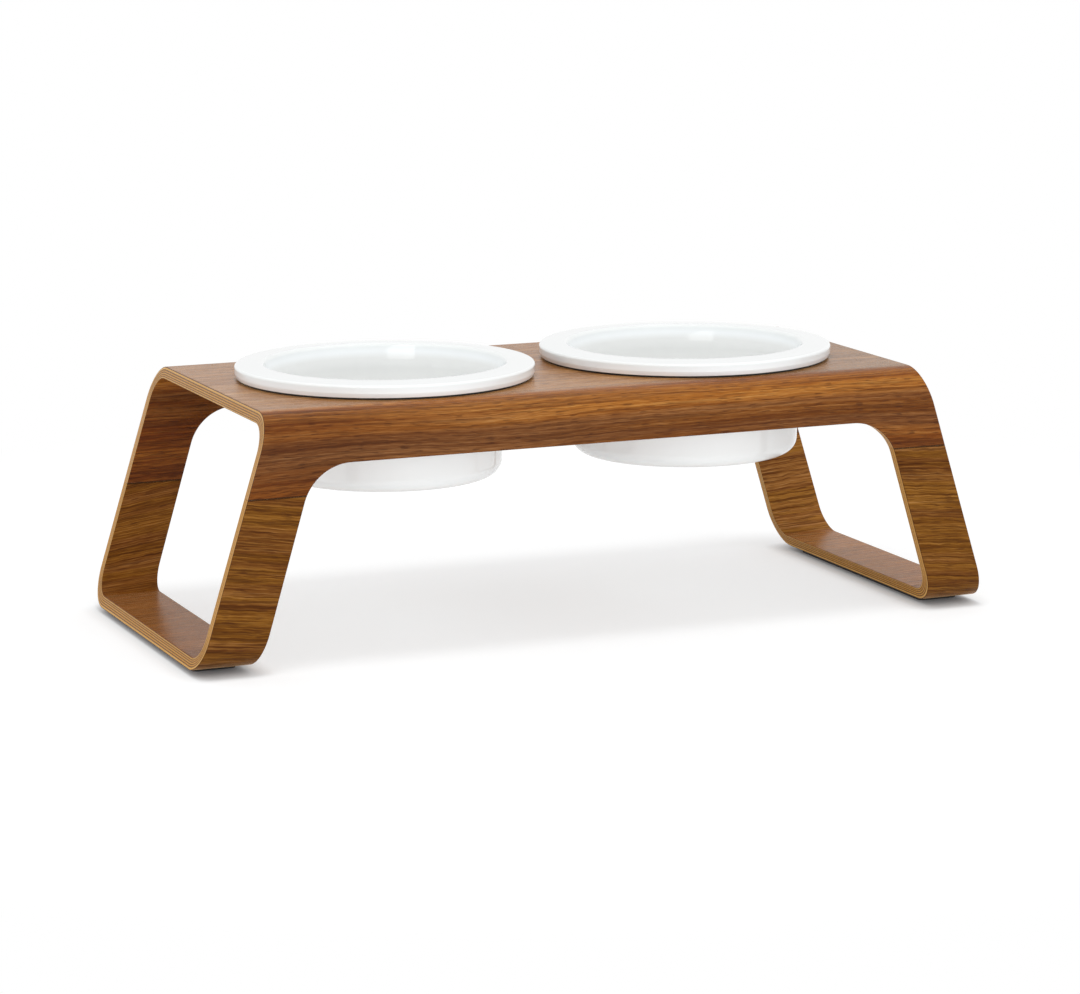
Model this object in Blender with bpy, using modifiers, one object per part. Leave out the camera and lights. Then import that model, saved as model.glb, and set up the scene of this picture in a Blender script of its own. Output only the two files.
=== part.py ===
"""Raised dog feeder: a moulded plywood frame that holds two lift-out bowls.

Metres, +Z up, the feeder stands on z = 0 and its front faces -Y.
"""
import math

import bmesh
import bpy
from mathutils import Vector

# Bowls: heights are from the rim's underside, which rests on the black ring
RIM_DIAMETER = 0.185
RIM_WIDTH = 0.0173
RIM_OVERHANG = 0.01825
RIM_FLARE = 0.0010
RIM_BAND = 0.0050
RIM_EDGE_HEIGHT = 0.0068
RIM_CROWN = 0.002
LIP_DEPTH = 0.012
BODY_DROP = 0.0618
BODY_TAPER = 0.003
BODY_BASE_RADIUS = 0.0095
BOWL_WALL = 0.0048
BOWL_FLOOR = 0.0055
BOWL_FLOOR_RADIUS = 0.016
FOOT_RING_WIDTH = 0.007
FOOT_RING_RECESS = 0.0012

# Stand, without the foot strips
RIM_GAP = 0.018
END_MARGIN = 0.01955
SIDE_MARGIN = 0.0205
FRAME_HEIGHT = 0.1504
LEG_SPLAY = 0.0463
PLY_THICKNESS = 0.0072
TOP_BEND_RADIUS = 0.0226
BASE_BEND_RADIUS = 0.0226
LEG_TOP_WIDTH = 0.0353
LEG_BASE_WIDTH = 0.0368
APRON_DEPTH = 0.0304
CUT_OUT_RADIUS = 0.0307

# Upper legs: how far they reach below the apron to the glued seams, and the tongues in the seams
FRONT_UPPER_LEG = 0.018
BACK_UPPER_LEG = 0.045
SPLINE_MARGIN = 0.0069
SPLINE_LENGTH = 0.020
SPLINE_THICKNESS = 0.0024

# Black rings under the rims
GASKET_THICKNESS = 0.0006
GASKET_INSET = 0.0013
SKIRT_THICKNESS = 0.0012
SKIRT_DEPTH = 0.006

# Foot strips
FOOT_THICKNESS = 0.003
FOOT_SIDE_INSET = 0.005
FOOT_END_INSET = 0.0064
FOOT_CORNER_RADIUS = 0.003

# Clearances
SEAT_GAP = 0.0003
SEAM_GAP = 0.0003
SPLINE_CLEARANCE = 0.0003
BOWL_CLEARANCE = 0.0005
SKIRT_CLEARANCE = 0.0003

# Small roundings
RIM_EDGE_ROUNDING = 0.0018
RIM_FLARE_ROUNDING = 0.0020
LIP_ROUNDING = 0.0024
THROAT_ROUNDING = 0.016
UNDERCUT_ROUNDING = 0.0012
FINE_ROUNDING = 0.0006

# Facets
BEND_STEPS = 10
CORNER_STEPS = 10
ROUNDING_STEPS = 4
FLOOR_STEPS = 5
TURN_STEPS = 60
CUT_MARGIN = 0.020
MERGE_DISTANCE = 0.00002

# What follows from the sizes
BOWL_SPACING = RIM_DIAMETER + RIM_GAP
TOP_LENGTH = BOWL_SPACING + RIM_DIAMETER + 2 * END_MARGIN
BASE_LENGTH = TOP_LENGTH + 2 * LEG_SPLAY
HALF_DEPTH = RIM_DIAMETER / 2 + SIDE_MARGIN
WOOD_BASE = FOOT_THICKNESS + SEAT_GAP
WOOD_TOP = WOOD_BASE + FRAME_HEIGHT
APRON_EDGE = FRAME_HEIGHT - APRON_DEPTH
FRONT_SEAM_HEIGHT = APRON_EDGE - FRONT_UPPER_LEG
BACK_SEAM_HEIGHT = APRON_EDGE - BACK_UPPER_LEG
GASKET_BASE = WOOD_TOP + SEAT_GAP
BOWL_SEAT = GASKET_BASE + GASKET_THICKNESS + SEAT_GAP
RIM_RADIUS = RIM_DIAMETER / 2
SEAT_RADIUS = RIM_RADIUS - RIM_FLARE
BODY_RADIUS = RIM_RADIUS - RIM_OVERHANG
GASKET_OUTER_RADIUS = SEAT_RADIUS - GASKET_INSET
GASKET_BORE_RADIUS = BODY_RADIUS + UNDERCUT_ROUNDING + BOWL_CLEARANCE
SKIRT_RADIUS = GASKET_BORE_RADIUS + SKIRT_THICKNESS
HOLE_RADIUS = SKIRT_RADIUS + SKIRT_CLEARANCE


def clear_scene():
    """Start from an empty scene."""
    for old in list(bpy.data.objects):
        bpy.data.objects.remove(old, do_unlink=True)


def new_collection(name):
    group = bpy.data.collections.new(name)
    bpy.context.scene.collection.children.link(group)
    return group


def make_material(name, colour, roughness, coat=0.0):
    material = bpy.data.materials.new(name)
    material.use_nodes = True
    shader = material.node_tree.nodes["Principled BSDF"]
    shader.inputs["Base Color"].default_value = (*colour, 1.0)
    shader.inputs["Roughness"].default_value = roughness
    shader.inputs["Metallic"].default_value = 0.0
    shader.inputs["Coat Weight"].default_value = coat
    return material


def rounded_path(corners, closed=False):
    """Points along a path of (a, b, radius, steps) corners, with each corner turned into an arc."""
    points = []
    count = len(corners)
    for index, (a, b, radius, steps) in enumerate(corners):
        corner = Vector((a, b))
        at_end = not closed and index in (0, count - 1)
        if at_end or radius == 0:
            points.append(corner)
            continue
        before = Vector(corners[index - 1][:2]) - corner
        after = Vector(corners[(index + 1) % count][:2]) - corner
        half_angle = before.angle(after) / 2
        before.normalize()
        after.normalize()
        reach = radius / math.tan(half_angle)
        centre = corner + (before + after).normalized() * (radius / math.sin(half_angle))
        start = corner + before * reach - centre
        turn = start.angle_signed(corner + after * reach - centre)
        for step in range(steps + 1):
            angle = -turn * step / steps
            spoke = Vector((
                start.x * math.cos(angle) - start.y * math.sin(angle),
                start.x * math.sin(angle) + start.y * math.cos(angle),
            ))
            points.append(centre + spoke)
    return points


def add_object(name, mesh, group, material=None):
    item = bpy.data.objects.new(name, mesh)
    group.objects.link(item)
    if material:
        mesh.materials.append(material)
    return item


def hide_cutter(item):
    item.hide_render = True
    item.display_type = "WIRE"
    return item


def finish(item, angle=math.radians(35)):
    """Apply the modifiers, then shade smooth with sharp edges where faces meet at more than the angle."""
    evaluated = item.evaluated_get(bpy.context.evaluated_depsgraph_get())
    mesh = bpy.data.meshes.new_from_object(evaluated)
    item.modifiers.clear()
    item.data = mesh
    mesh.name = item.name
    mesh.shade_smooth()
    mesh.set_sharp_from_angle(angle=angle)


def outline_solid(name, corners, thickness, group):
    """A flat closed outline with rounded corners, given a thickness about its own plane."""
    curve = bpy.data.curves.new(name + "_outline", "CURVE")
    curve.dimensions = "2D"
    curve.fill_mode = "BOTH"
    curve.extrude = thickness / 2
    points = rounded_path(corners, closed=True)
    spline = curve.splines.new("POLY")
    spline.points.add(len(points) - 1)
    for slot, point in zip(spline.points, points):
        slot.co = (point.x, point.y, 0.0, 1.0)
    spline.use_cyclic_u = True
    drawn = bpy.data.objects.new(name + "_drawn", curve)
    group.objects.link(drawn)
    bpy.context.view_layer.update()
    evaluated = drawn.evaluated_get(bpy.context.evaluated_depsgraph_get())
    mesh = bpy.data.meshes.new_from_object(evaluated)
    mesh.name = name
    bpy.data.objects.remove(drawn, do_unlink=True)
    shape = bmesh.new()
    shape.from_mesh(mesh)
    bmesh.ops.remove_doubles(shape, verts=shape.verts, dist=MERGE_DISTANCE)
    bmesh.ops.recalc_face_normals(shape, faces=shape.faces)
    shape.to_mesh(mesh)
    shape.free()
    return add_object(name, mesh, group)


def outer_x(height):
    """Half length of the stand at a height above the plywood's underside."""
    return BASE_LENGTH / 2 - LEG_SPLAY * height / FRAME_HEIGHT


def leg_width(height):
    """Width of a leg, measured level, at the same height."""
    return LEG_BASE_WIDTH + (LEG_TOP_WIDTH - LEG_BASE_WIDTH) * height / FRAME_HEIGHT


def inner_x(height):
    """Half width of the cut-out between the legs at the same height."""
    return outer_x(height) - leg_width(height)


def front_outline_cutter(group):
    """The stand's front view, with slanted ends and the cut-out between the legs, as a deep block."""
    low = -CUT_MARGIN
    high = FRAME_HEIGHT + CUT_MARGIN
    corners = [
        (-outer_x(low), WOOD_BASE + low, 0, 0),
        (-inner_x(low), WOOD_BASE + low, 0, 0),
        (-inner_x(APRON_EDGE), WOOD_BASE + APRON_EDGE, CUT_OUT_RADIUS, CORNER_STEPS),
        (inner_x(APRON_EDGE), WOOD_BASE + APRON_EDGE, CUT_OUT_RADIUS, CORNER_STEPS),
        (inner_x(low), WOOD_BASE + low, 0, 0),
        (outer_x(low), WOOD_BASE + low, 0, 0),
        (outer_x(high), WOOD_BASE + high, 0, 0),
        (-outer_x(high), WOOD_BASE + high, 0, 0),
    ]
    block = outline_solid("front_outline_cutter", corners, 2 * (HALF_DEPTH + CUT_MARGIN), group)
    block.rotation_euler.x = math.radians(90)
    return hide_cutter(block)


def bent_sheet(name, corners, x_from, x_to, group, material):
    """A plywood sheet bent along a (y, z) path on its outer face, straight in X."""
    shape = bmesh.new()
    points = [shape.verts.new((x_to, point.x, point.y)) for point in rounded_path(corners)]
    edges = [shape.edges.new(pair) for pair in zip(points, points[1:])]
    swept = bmesh.ops.extrude_edge_only(shape, edges=edges)["geom"]
    far_points = [item for item in swept if isinstance(item, bmesh.types.BMVert)]
    bmesh.ops.translate(shape, verts=far_points, vec=(x_from - x_to, 0, 0))
    mesh = bpy.data.meshes.new(name)
    shape.to_mesh(mesh)
    shape.free()
    sheet = add_object(name, mesh, group, material)
    thickness = sheet.modifiers.new("ply_thickness", "SOLIDIFY")
    thickness.thickness = PLY_THICKNESS
    thickness.offset = -1
    thickness.use_even_offset = True
    thickness.use_rim = True
    return sheet


def cut(item, cutter, operation="DIFFERENCE"):
    step = item.modifiers.new(cutter.name, "BOOLEAN")
    step.operation = operation
    step.solver = "EXACT"
    step.object = cutter


def make_upper_shell(group, material):
    """Top, apron and upper legs: the sheet runs from the front seam over the top to the back seam."""
    corners = [
        (HALF_DEPTH, WOOD_BASE + BACK_SEAM_HEIGHT + SEAM_GAP / 2, 0, 0),
        (HALF_DEPTH, WOOD_TOP, TOP_BEND_RADIUS, BEND_STEPS),
        (-HALF_DEPTH, WOOD_TOP, TOP_BEND_RADIUS, BEND_STEPS),
        (-HALF_DEPTH, WOOD_BASE + FRONT_SEAM_HEIGHT + SEAM_GAP / 2, 0, 0),
    ]
    reach = BASE_LENGTH / 2 + CUT_MARGIN
    return bent_sheet("upper_shell", corners, -reach, reach, group, material)


def make_base_bow(name, side, group, material):
    """One U-shaped foot: the sheet runs from the front seam under the foot to the back seam."""
    corners = [
        (-HALF_DEPTH, WOOD_BASE + FRONT_SEAM_HEIGHT - SEAM_GAP / 2, 0, 0),
        (-HALF_DEPTH, WOOD_BASE, BASE_BEND_RADIUS, BEND_STEPS),
        (HALF_DEPTH, WOOD_BASE, BASE_BEND_RADIUS, BEND_STEPS),
        (HALF_DEPTH, WOOD_BASE + BACK_SEAM_HEIGHT - SEAM_GAP / 2, 0, 0),
    ]
    near = inner_x(APRON_EDGE) - CUT_OUT_RADIUS
    far = BASE_LENGTH / 2 + CUT_MARGIN
    x_from, x_to = (near, far) if side > 0 else (-far, -near)
    return bent_sheet(name, corners, x_from, x_to, group, material)


def leaning_block(name, side, y, seam_height, grow, group):
    """A block centred on a leg's seam and leaning with the leg; grow widens it on every side."""
    width = leg_width(seam_height) - 2 * SPLINE_MARGIN
    shape = bmesh.new()
    bmesh.ops.create_cube(shape, size=1.0)
    size = (width + 2 * grow, SPLINE_THICKNESS + 2 * grow, SPLINE_LENGTH + 2 * grow)
    bmesh.ops.scale(shape, verts=shape.verts, vec=size)
    mesh = bpy.data.meshes.new(name)
    shape.to_mesh(mesh)
    shape.free()
    block = add_object(name, mesh, group)
    middle = outer_x(seam_height) - leg_width(seam_height) / 2
    block.location = (side * middle, y, WOOD_BASE + seam_height)
    lean = LEG_SPLAY - (LEG_BASE_WIDTH - LEG_TOP_WIDTH) / 2
    block.rotation_euler.y = -side * math.atan2(lean, FRAME_HEIGHT)
    return block


def bowl_profile():
    """Half section of a bowl, from the middle of its inside floor over the rim to its base."""
    rim_top = RIM_EDGE_HEIGHT + RIM_CROWN
    base_radius = BODY_RADIUS - BODY_TAPER
    ring_radius = base_radius - BODY_BASE_RADIUS - FOOT_RING_WIDTH
    corners = [
        (0, BOWL_FLOOR - BODY_DROP, 0, 0),
        (base_radius - BOWL_WALL, BOWL_FLOOR - BODY_DROP, BOWL_FLOOR_RADIUS, FLOOR_STEPS),
        (BODY_RADIUS - BOWL_WALL, rim_top - LIP_DEPTH, THROAT_ROUNDING, ROUNDING_STEPS),
        (RIM_RADIUS - RIM_WIDTH, rim_top, LIP_ROUNDING, ROUNDING_STEPS),
        (RIM_RADIUS, RIM_EDGE_HEIGHT, RIM_EDGE_ROUNDING, 3),
        (RIM_RADIUS, RIM_EDGE_HEIGHT - RIM_BAND, RIM_FLARE_ROUNDING, 2),
        (SEAT_RADIUS, 0, FINE_ROUNDING, 2),
        (BODY_RADIUS, 0, UNDERCUT_ROUNDING, 2),
        (base_radius, -BODY_DROP, BODY_BASE_RADIUS, FLOOR_STEPS),
        (ring_radius, -BODY_DROP, FINE_ROUNDING, 2),
        (ring_radius - FOOT_RING_RECESS, FOOT_RING_RECESS - BODY_DROP, 0, 0),
        (0, FOOT_RING_RECESS - BODY_DROP, 0, 0),
    ]
    return rounded_path(corners)


def gasket_profile():
    """Section of a black ring: a flange that lies on the wood and a skirt that lines the hole."""
    corners = [
        (GASKET_BORE_RADIUS, GASKET_THICKNESS, 0, 0),
        (GASKET_OUTER_RADIUS, GASKET_THICKNESS, GASKET_THICKNESS / 3, 2),
        (GASKET_OUTER_RADIUS, 0, 0, 0),
        (SKIRT_RADIUS, 0, 0, 0),
        (SKIRT_RADIUS, -SKIRT_DEPTH, 0, 0),
        (GASKET_BORE_RADIUS, -SKIRT_DEPTH, 0, 0),
    ]
    return rounded_path(corners, closed=True)


def turned(name, profile, closed, centre, group, material):
    """A profile in (radius, z) turned about the vertical axis through its own origin."""
    shape = bmesh.new()
    points = [shape.verts.new((point.x, 0.0, point.y)) for point in profile]
    for first, second in zip(points, points[1:]):
        shape.edges.new((first, second))
    if closed:
        shape.edges.new((points[-1], points[0]))
    mesh = bpy.data.meshes.new(name)
    shape.to_mesh(mesh)
    shape.free()
    item = add_object(name, mesh, group, material)
    item.location = centre
    screw = item.modifiers.new("turning", "SCREW")
    screw.axis = "Z"
    screw.steps = TURN_STEPS
    screw.render_steps = TURN_STEPS
    screw.use_merge_vertices = True
    screw.merge_threshold = MERGE_DISTANCE
    screw.use_smooth_shade = True
    return item


def hole_cutter(name, x, group):
    shape = bmesh.new()
    bmesh.ops.create_cone(
        shape, cap_ends=True, segments=TURN_STEPS,
        radius1=HOLE_RADIUS, radius2=HOLE_RADIUS, depth=2 * (PLY_THICKNESS + CUT_MARGIN),
    )
    mesh = bpy.data.meshes.new(name)
    shape.to_mesh(mesh)
    shape.free()
    item = add_object(name, mesh, group)
    item.location = (x, 0.0, WOOD_TOP)
    return hide_cutter(item)


def make_foot_strip(name, side, group, material):
    """A flat black strip on the underside of one foot, inside the bends."""
    near = inner_x(0) + FOOT_SIDE_INSET
    far = outer_x(0) - FOOT_SIDE_INSET
    half_length = HALF_DEPTH - BASE_BEND_RADIUS - FOOT_END_INSET
    half_width = (far - near) / 2
    corners = [
        (-half_width, -half_length, FOOT_CORNER_RADIUS, ROUNDING_STEPS),
        (half_width, -half_length, FOOT_CORNER_RADIUS, ROUNDING_STEPS),
        (half_width, half_length, FOOT_CORNER_RADIUS, ROUNDING_STEPS),
        (-half_width, half_length, FOOT_CORNER_RADIUS, ROUNDING_STEPS),
    ]
    strip = outline_solid(name, corners, FOOT_THICKNESS, group)
    strip.location = (side * (near + far) / 2, 0.0, FOOT_THICKNESS / 2)
    strip.data.materials.append(material)
    return strip


def main():
    clear_scene()
    parts = new_collection("raised_dog_feeder")
    cutters = new_collection("cutters")
    walnut = make_material("walnut_plywood", (0.27, 0.115, 0.035), 0.42)
    maple = make_material("spline_wood", (0.62, 0.42, 0.22), 0.6)
    porcelain = make_material("white_glaze", (0.86, 0.87, 0.87), 0.08, coat=0.5)
    silicone = make_material("black_silicone", (0.015, 0.015, 0.016), 0.55)
    strip_rubber = make_material("black_strip", (0.02, 0.02, 0.021), 0.8)

    front_outline = front_outline_cutter(cutters)
    shell = make_upper_shell(parts, walnut)
    bows = {
        -1: make_base_bow("left_base_bow", -1, parts, walnut),
        1: make_base_bow("right_base_bow", 1, parts, walnut),
    }
    for piece in (shell, *bows.values()):
        cut(piece, front_outline, "INTERSECT")

    wall_middle = HALF_DEPTH - PLY_THICKNESS / 2
    seams = (("front", -wall_middle, FRONT_SEAM_HEIGHT), ("back", wall_middle, BACK_SEAM_HEIGHT))
    for side, side_name in ((-1, "left"), (1, "right")):
        for end_name, y, seam_height in seams:
            name = f"{end_name}_{side_name}_spline"
            tongue = leaning_block(name, side, y, seam_height, 0.0, parts)
            tongue.data.materials.append(maple)
            slot = leaning_block(name + "_slot", side, y, seam_height, SPLINE_CLEARANCE, cutters)
            hide_cutter(slot)
            cut(shell, slot)
            cut(bows[side], slot)

        x = side * BOWL_SPACING / 2
        cut(shell, hole_cutter(side_name + "_bowl_hole", x, cutters))
        turned(side_name + "_gasket", gasket_profile(), True, (x, 0, GASKET_BASE), parts, silicone)
        turned(side_name + "_bowl", bowl_profile(), False, (x, 0, BOWL_SEAT), parts, porcelain)
        make_foot_strip(side_name + "_foot_strip", side, parts, strip_rubber)

    for piece in parts.objects:
        finish(piece)


main()
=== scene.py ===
"""Raised dog feeder in walnut plywood with two white bowls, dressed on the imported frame."""
import math

import bmesh
import bpy
from mathutils import Matrix, Vector


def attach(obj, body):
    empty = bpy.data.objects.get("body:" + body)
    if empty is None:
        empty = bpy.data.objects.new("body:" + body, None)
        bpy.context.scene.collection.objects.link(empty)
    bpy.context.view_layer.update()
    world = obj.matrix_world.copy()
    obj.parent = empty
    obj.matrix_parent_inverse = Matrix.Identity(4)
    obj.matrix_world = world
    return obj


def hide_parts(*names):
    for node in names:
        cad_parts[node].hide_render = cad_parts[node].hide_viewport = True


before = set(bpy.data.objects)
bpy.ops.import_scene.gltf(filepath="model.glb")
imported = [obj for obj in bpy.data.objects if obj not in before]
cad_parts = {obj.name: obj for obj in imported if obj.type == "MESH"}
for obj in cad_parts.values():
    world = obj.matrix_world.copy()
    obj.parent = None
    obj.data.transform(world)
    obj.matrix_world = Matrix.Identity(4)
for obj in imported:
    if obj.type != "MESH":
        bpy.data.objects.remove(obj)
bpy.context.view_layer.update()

# Lengths are in metres. They follow the solids, apart from the fine forms that are only drawn.

# Stand
FRAME_HEIGHT = 0.1504
HALF_DEPTH = 0.113
TOP_LENGTH = 0.4271
BASE_LENGTH = 0.5197
PLY_THICKNESS = 0.0072
BEND_RADIUS = 0.0226
LEG_TOP_WIDTH = 0.0353
LEG_BASE_WIDTH = 0.0368
APRON_EDGE = 0.120
CUT_OUT_RADIUS = 0.0307
FRONT_SEAM = 0.102
BACK_SEAM = 0.075
WOOD_BASE = 0.0033
WOOD_TOP = WOOD_BASE + FRAME_HEIGHT
LEG_SPLAY = (BASE_LENGTH - TOP_LENGTH) / 2
FLAT_HALF_DEPTH = HALF_DEPTH - BEND_RADIUS

# Seams and arrises, only drawn: the solids have sharp edges and wider gaps for the glue.
# Edges between the two core shares of the sheet's thickness stay sharp.
SEAM_GAP = 0.00010
ARRIS = 0.00045
SEAM_ARRIS = 0.00018
ARRIS_STEPS = 3
CORE_FROM = 0.2
CORE_TO = 0.8
SEAM_TOLERANCE = 0.00001

# Tongues in the leg seams
SPLINE_MARGIN = 0.0069
SPLINE_LENGTH = 0.020
SPLINE_THICKNESS = 0.0024
SPLINE_CLEARANCE = 0.0003

# Bowls and the rings under their rims. The rim's edge is drawn higher than the solid's and
# its crown flatter, with the same top.
BOWL_X = 0.1015
BOWL_SEAT = 0.1549
RIM_RADIUS = 0.0925
RIM_WIDTH = 0.0173
RIM_FLARE = 0.0010
RIM_BAND = 0.0050
RIM_EDGE_HEIGHT = 0.00765
RIM_CROWN = 0.0010
LIP_DEPTH = 0.012
BODY_RADIUS = 0.07425
BODY_DROP = 0.0618
BODY_TAPER = 0.003
BODY_BASE_RADIUS = 0.0095
BOWL_WALL = 0.0048
BOWL_FLOOR = 0.0055
FOOT_RING_WIDTH = 0.007
FOOT_RING_RECESS = 0.0012
GASKET_BASE = 0.15375
GASKET_THICKNESS = 0.0011
GASKET_OUTER_RADIUS = 0.0902
GASKET_BORE_RADIUS = 0.07595
SKIRT_RADIUS = 0.07715
SKIRT_DEPTH = 0.006
HOLE_RADIUS = 0.07745

# Foot strips
FOOT_THICKNESS = 0.003
FOOT_SIDE_INSET = 0.005
FOOT_END_INSET = 0.0064
FOOT_ARRIS = 0.0004
FOOT_ARRIS_STEPS = 2

# Rounded corners of outlines and sections: radius and number of steps
SHARP = (0, 0)
BEND_ROUND = (BEND_RADIUS, 28)
CUT_OUT_ROUND = (CUT_OUT_RADIUS, 32)
FOOT_ROUND = (0.003, 8)
HOLLOW_FLOOR_ROUND = (0.016, 16)
HOLLOW_SHOULDER_ROUND = (0.016, 12)
LIP_ROUND = (0.0024, 10)
RIM_TOP_ROUND = (0.0018, 10)
RIM_LOW_ROUND = (0.0020, 8)
RIM_UNDERSIDE_ROUND = (0.0006, 5)
NECK_ROUND = (0.0012, 5)
BODY_BASE_ROUND = (BODY_BASE_RADIUS, 14)
FOOT_RING_ROUND = (0.0006, 4)
GASKET_SMALL_ROUND = (0.0002, 2)
GASKET_RIM_ROUND = (0.0004, 4)
SKIRT_ROUND = (0.0003, 3)

# Facets round the turned pieces and the holes
BOWL_STEPS = 192
RING_STEPS = 160
HOLE_STEPS = 160

# Angles from which an edge counts as sharp
SHARP_WOOD_ANGLE = math.radians(30)
SHARP_TURNED_ANGLE = math.radians(40)
SHARP_FOOT_ANGLE = math.radians(50)

# Cutters stand out past what they cut
CUTTER_OVERRUN = 0.02
HOLE_CUTTER_HEIGHT = 0.05
MERGE_DISTANCE = 0.00001


# Shape helpers

def rounded_path(corners, closed=False):
    """Points along a path of (a, b, radius, steps) corners, each corner turned into an arc."""
    points = []
    count = len(corners)
    for index, (a, b, radius, steps) in enumerate(corners):
        corner = Vector((a, b))
        at_end = not closed and index in (0, count - 1)
        if at_end or radius == 0:
            points.append(corner)
            continue
        before = Vector(corners[index - 1][:2]) - corner
        after = Vector(corners[(index + 1) % count][:2]) - corner
        half_angle = before.angle(after) / 2
        before.normalize()
        after.normalize()
        reach = radius / math.tan(half_angle)
        centre = corner + (before + after).normalized() * (radius / math.sin(half_angle))
        start = corner + before * reach - centre
        turn = start.angle_signed(corner + after * reach - centre)
        for step in range(steps + 1):
            angle = -turn * step / steps
            spoke = Vector((
                start.x * math.cos(angle) - start.y * math.sin(angle),
                start.x * math.sin(angle) + start.y * math.cos(angle),
            ))
            points.append(centre + spoke)
    return points


def new_object(name, data):
    item = bpy.data.objects.new(name, data)
    bpy.context.scene.collection.objects.link(item)
    return item


def mesh_from(shape, name):
    mesh = bpy.data.meshes.new(name)
    shape.to_mesh(mesh)
    shape.free()
    return mesh


def evaluated_mesh(item):
    evaluated = item.evaluated_get(bpy.context.evaluated_depsgraph_get())
    return bpy.data.meshes.new_from_object(evaluated)


def apply_modifiers(item):
    mesh = evaluated_mesh(item)
    item.modifiers.clear()
    old = item.data
    item.data = mesh
    mesh.name = item.name
    bpy.data.meshes.remove(old)
    return item


def outline_solid(name, corners, thickness):
    """A flat closed outline with rounded corners, given a thickness about its own plane."""
    curve = bpy.data.curves.new(name + "_outline", "CURVE")
    curve.dimensions = "2D"
    curve.fill_mode = "BOTH"
    curve.extrude = thickness / 2
    points = rounded_path(corners, closed=True)
    spline = curve.splines.new("POLY")
    spline.points.add(len(points) - 1)
    for knot, point in zip(spline.points, points):
        knot.co = (point.x, point.y, 0.0, 1.0)
    spline.use_cyclic_u = True
    drawn = new_object(name + "_drawn", curve)
    bpy.context.view_layer.update()
    mesh = evaluated_mesh(drawn)
    bpy.data.objects.remove(drawn, do_unlink=True)
    shape = bmesh.new()
    shape.from_mesh(mesh)
    bpy.data.meshes.remove(mesh)
    bmesh.ops.remove_doubles(shape, verts=shape.verts, dist=MERGE_DISTANCE)
    bmesh.ops.recalc_face_normals(shape, faces=shape.faces)
    return new_object(name, mesh_from(shape, name))


def boolean(item, cutter, operation="DIFFERENCE"):
    step = item.modifiers.new(cutter.name, "BOOLEAN")
    step.operation = operation
    step.solver = "EXACT"
    step.object = cutter


# Stand

def outer_x(height):
    return BASE_LENGTH / 2 - LEG_SPLAY * height / FRAME_HEIGHT


def leg_width(height):
    return LEG_BASE_WIDTH + (LEG_TOP_WIDTH - LEG_BASE_WIDTH) * height / FRAME_HEIGHT


def inner_x(height):
    return outer_x(height) - leg_width(height)


def front_outline_cutter():
    """The stand seen from the front, which cuts apron and leaning legs from bent sheets."""
    low = -CUTTER_OVERRUN
    high = FRAME_HEIGHT + CUTTER_OVERRUN
    corners = [
        (-outer_x(low), WOOD_BASE + low, *SHARP),
        (-inner_x(low), WOOD_BASE + low, *SHARP),
        (-inner_x(APRON_EDGE), WOOD_BASE + APRON_EDGE, *CUT_OUT_ROUND),
        (inner_x(APRON_EDGE), WOOD_BASE + APRON_EDGE, *CUT_OUT_ROUND),
        (inner_x(low), WOOD_BASE + low, *SHARP),
        (outer_x(low), WOOD_BASE + low, *SHARP),
        (outer_x(high), WOOD_BASE + high, *SHARP),
        (-outer_x(high), WOOD_BASE + high, *SHARP),
    ]
    thickness = 2 * HALF_DEPTH + 2 * CUTTER_OVERRUN
    block = outline_solid("front_outline_cutter", corners, thickness)
    block.rotation_euler.x = math.radians(90)
    return block


def bent_sheet(name, corners, x_from, x_to):
    """A sheet along x whose outer face follows (y, z) corners."""
    shape = bmesh.new()
    points = [shape.verts.new((x_to, point.x, point.y)) for point in rounded_path(corners)]
    edges = [shape.edges.new(pair) for pair in zip(points, points[1:])]
    swept = bmesh.ops.extrude_edge_only(shape, edges=edges)["geom"]
    far_points = [item for item in swept if isinstance(item, bmesh.types.BMVert)]
    bmesh.ops.translate(shape, verts=far_points, vec=(x_from - x_to, 0, 0))
    sheet = new_object(name, mesh_from(shape, name))
    thickness = sheet.modifiers.new("ply_thickness", "SOLIDIFY")
    thickness.thickness = PLY_THICKNESS
    thickness.offset = -1
    thickness.use_even_offset = True
    return sheet


def slot_cutter(side, y, seam_height):
    """Room for a tongue, leaning with its leg."""
    size = (
        leg_width(seam_height) - 2 * SPLINE_MARGIN + 2 * SPLINE_CLEARANCE,
        SPLINE_THICKNESS + 2 * SPLINE_CLEARANCE,
        SPLINE_LENGTH + 2 * SPLINE_CLEARANCE,
    )
    shape = bmesh.new()
    bmesh.ops.create_cube(shape, size=1.0)
    bmesh.ops.scale(shape, verts=shape.verts, vec=size)
    block = new_object("slot_cutter", mesh_from(shape, "slot_cutter"))
    middle = outer_x(seam_height) - leg_width(seam_height) / 2
    block.location = (side * middle, y, WOOD_BASE + seam_height)
    lean = LEG_SPLAY - (LEG_BASE_WIDTH - LEG_TOP_WIDTH) / 2
    block.rotation_euler.y = -side * math.atan2(lean, FRAME_HEIGHT)
    return block


def hole_cutter(x):
    shape = bmesh.new()
    bmesh.ops.create_cone(
        shape, cap_ends=True, segments=HOLE_STEPS,
        radius1=HOLE_RADIUS, radius2=HOLE_RADIUS, depth=HOLE_CUTTER_HEIGHT)
    item = new_object("hole_cutter", mesh_from(shape, "hole_cutter"))
    item.location = (x, 0.0, WOOD_TOP)
    return item


def depth_in_sheet(y, z, from_top):
    """Depth of a point below the sheet's outer face."""
    drop = (WOOD_TOP - z) if from_top else (z - WOOD_BASE)
    beyond = max(abs(y) - FLAT_HALF_DEPTH, 0.0)
    return BEND_RADIUS - math.hypot(beyond, max(BEND_RADIUS - drop, 0.0))


def on_seam(points, seams):
    """Whether all points lie at the same one of the (height, is at the back) seams."""
    return any(
        all(abs(p.z - seam) < SEAM_TOLERANCE and (p.y > 0) == back for p in points)
        for seam, back in seams)


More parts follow.
